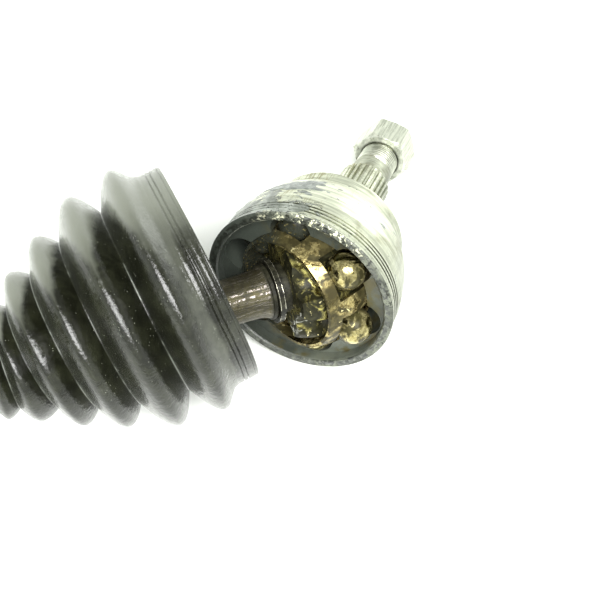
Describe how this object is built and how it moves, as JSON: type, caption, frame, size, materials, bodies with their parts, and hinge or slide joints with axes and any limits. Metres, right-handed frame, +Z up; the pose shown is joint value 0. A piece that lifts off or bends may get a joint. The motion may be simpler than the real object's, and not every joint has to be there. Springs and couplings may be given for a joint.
{
  "type": "cv axle",
  "caption": "Front drive half shaft with a bent ball joint and splined stub at one end, a tripod joint at the other, and two ribbed rubber boots.",
  "frame": {"origin": "middle of the oil seal journal of the inner joint, on the bar's axis", "axes": "+X along the bar from the inner joint to the outer joint, +Z up, with the shaft lying on a flat surface at z = -44 mm"},
  "size_m": [0.5242, 0.1377, 0.1131],
  "materials": {
    "bell_steel": "machined, grease smeared",
    "bar_steel": "brown, lightly rusted, scratched",
    "race_steel": "polished under brown grease",
    "ball_steel": "mirror polished under brown grease",
    "boot_rubber": "semi-gloss",
    "nut_steel": "zinc plated, dull",
    "housing_steel": "forged and turned",
    "bearing_steel": "ground, oiled",
    "spring_steel": "blued, oiled",
    "clamp_steel": "bright stainless strip"
  },
  "bodies": {
    "shaft": {"drive_shaft": "bar_steel", "outer_joint_inner_race": "race_steel", "race_stop_ring": "bearing_steel", "race_snap_ring": "spring_steel", "tripod_spider": "bearing_steel", "needle_set_1": "bearing_steel", "needle_set_2": "bearing_steel", "needle_set_3": "bearing_steel", "roller_clip_1": "spring_steel", "roller_clip_2": "spring_steel", "roller_clip_3": "spring_steel", "spider_circlip": "spring_steel", "spider_stop_ring": "spring_steel", "inner_boot": "boot_rubber", "inner_boot_small_clamp": "clamp_steel"},
    "cage": {"outer_joint_cage": "race_steel", "ball_1": "ball_steel", "ball_2": "ball_steel", "ball_3": "ball_steel", "ball_4": "ball_steel", "ball_5": "ball_steel", "ball_6": "ball_steel"},
    "bell": {"outer_joint_bell": "bell_steel"},
    "nut": {"axle_nut": "nut_steel"},
    "outer_boot": {"outer_boot": "boot_rubber"},
    "roller_1": {"roller_1": "bearing_steel"},
    "roller_2": {"roller_2": "bearing_steel"},
    "roller_3": {"roller_3": "bearing_steel"},
    "inner_housing": {"inner_joint_housing": "housing_steel", "stub_circlip": "spring_steel", "inner_boot_large_clamp": "clamp_steel"}
  },
  "joints": [
    {"name": "outer_bend_cage", "type": "hinge", "parent": "shaft", "child": "cage", "pos_m": [0.377, 0, 0], "axis": [0, 0.3469, 0.9379], "range_deg": [-44.35, 0.15]},
    {"name": "outer_bend_bell", "type": "hinge", "parent": "cage", "child": "bell", "pos_m": [0.377, 0, 0], "axis": [0, 0.3469, 0.9379], "range_deg": [-44.35, 0.15]},
    {"name": "nut_turn", "type": "hinge", "parent": "bell", "child": "nut", "pos_m": [0.45658, 0.07258, -0.02685], "axis": [0.7169, 0.6539, -0.2419], "continuous": true},
    {"name": "boot_slide", "type": "slide", "parent": "shaft", "child": "outer_boot", "axis": [1, 0, 0], "range_m": [-0.03, 0]},
    {"name": "inner_tilt", "type": "hinge", "parent": "shaft", "child": "roller_1", "pos_m": [0.049, 0, 0], "axis": [0, 0, 1], "range_deg": [-12, 12], "deforming": ["inner_boot"]},
    {"name": "inner_plunge", "type": "slide", "parent": "roller_1", "child": "inner_housing", "axis": [1, 0, 0], "range_m": [-0.013, 0.013]},
    {"name": "roller_2_spin", "type": "hinge", "parent": "shaft", "child": "roller_2", "pos_m": [0.049, 0, 0], "axis": [0, -0.866, -0.5], "continuous": true},
    {"name": "roller_3_spin", "type": "hinge", "parent": "shaft", "child": "roller_3", "pos_m": [0.049, 0, 0], "axis": [0, 0.866, -0.5], "continuous": true}
  ],
  "couplings": [
    {"joint": "outer_bend_bell", "follows": "outer_bend_cage", "ratio": 1}
  ]
}
